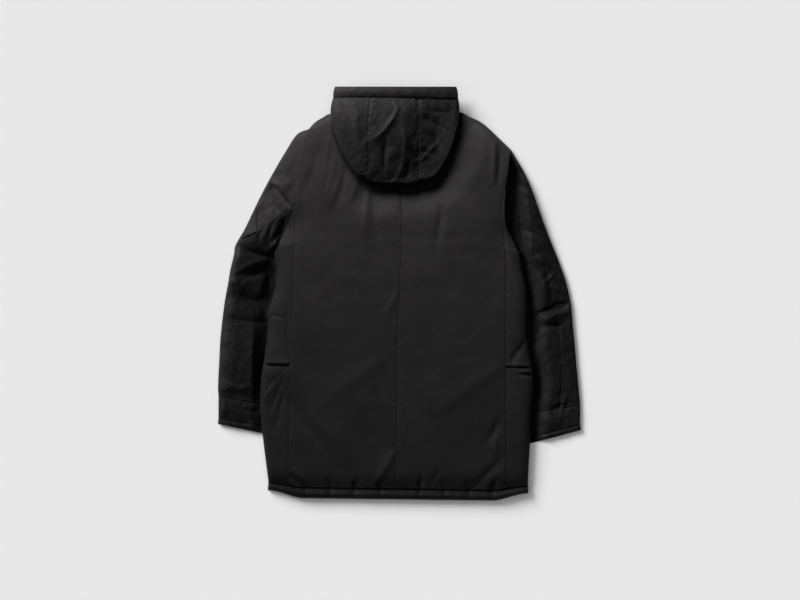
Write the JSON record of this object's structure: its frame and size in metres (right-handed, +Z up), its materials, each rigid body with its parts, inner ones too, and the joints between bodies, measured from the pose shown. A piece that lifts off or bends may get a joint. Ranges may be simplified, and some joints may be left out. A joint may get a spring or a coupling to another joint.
{
  "type": "padded hooded parka laid flat",
  "caption": "Padded hooded parka laid flat with its back up, sleeves at its sides and its hood folded down on the upper back.",
  "frame": {"origin": "on the floor under the middle of the outline", "axes": "+Y towards the hood, +Z up from the floor, +X to the right seen from above"},
  "size_m": [0.7979, 0.9063, 0.056],
  "materials": {
    "shell": "matt black tightly woven shell cloth over soft padding",
    "trim": "matt black shell cloth rolled and topstitched at the edges",
    "inner_layers": "black cloth of the folded hood and collar"
  },
  "bodies": {
    "root": {"back_left": "shell", "back_right": "shell", "side_left_upper": "shell", "side_left_lower": "shell", "side_right_upper": "shell", "side_right_lower": "shell", "front_left": "shell", "front_right": "shell", "front_fly": "shell", "hem_band": "trim", "sleeve_left_top": "shell", "sleeve_left_under": "shell", "sleeve_left_forearm": "shell", "sleeve_pocket_left": "shell", "cuff_left": "shell", "cuff_band_left": "trim", "sleeve_right_top": "shell", "sleeve_right_under": "shell", "sleeve_right_forearm": "shell", "cuff_right": "shell", "cuff_band_right": "trim", "hood_left": "shell", "hood_centre": "shell", "hood_right": "shell", "hood_band": "trim", "hood_fold": "inner_layers", "collar_front": "inner_layers"}
  },
  "joints": []
}
